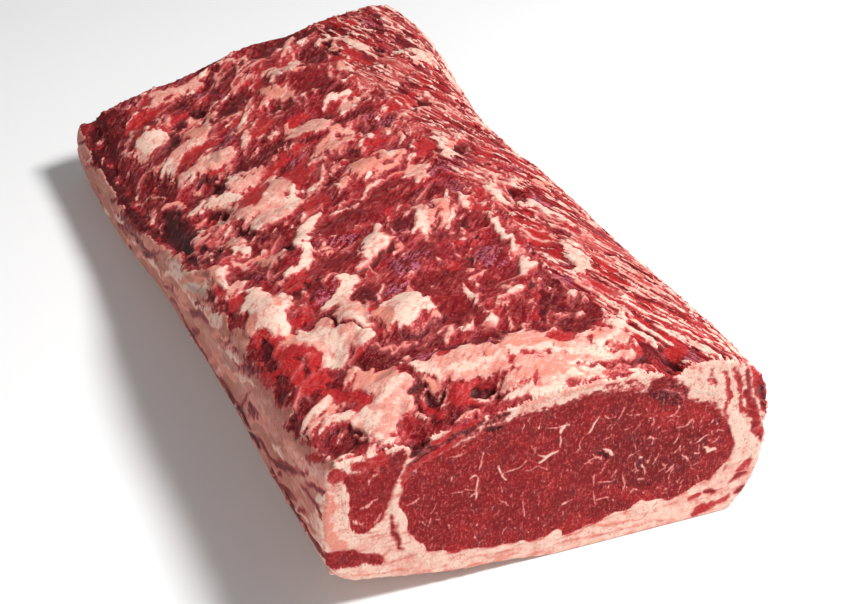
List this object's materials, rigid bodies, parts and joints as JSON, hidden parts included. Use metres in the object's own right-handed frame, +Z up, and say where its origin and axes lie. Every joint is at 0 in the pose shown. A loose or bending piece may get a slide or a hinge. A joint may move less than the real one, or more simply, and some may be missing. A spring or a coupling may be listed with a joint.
{
  "type": "raw beef striploin",
  "caption": "Whole boneless raw beef striploin lying on its fat cap, rib side up, with a clean cut end that shows the eye muscle.",
  "frame": {"origin": "Centre of the loin's plan, at the height of the table it lies on.", "axes": "+X runs across from the flank edge to the chine edge, +Y along the loin from the near cut end to the far one, +Z up."},
  "size_m": [0.221, 0.4412, 0.0895],
  "materials": {
    "eye_lean": "moist raw lean with fine white marbling",
    "side_lean": "moist raw lean",
    "chine_lean": "moist raw lean with long white sinews",
    "strip_lean": "thin dark raw lean",
    "rib_side": "wet patchwork of dark lean, bright lean and pale fat",
    "fat": "smooth pale pink to cream fat, slightly greasy"
  },
  "bodies": {
    "root": {"eye_muscle": "eye_lean", "side_muscle": "side_lean", "chine_strap": "chine_lean", "lean_strip": "strip_lean", "rib_cover": "rib_side", "fat_cap": "fat"}
  },
  "joints": []
}
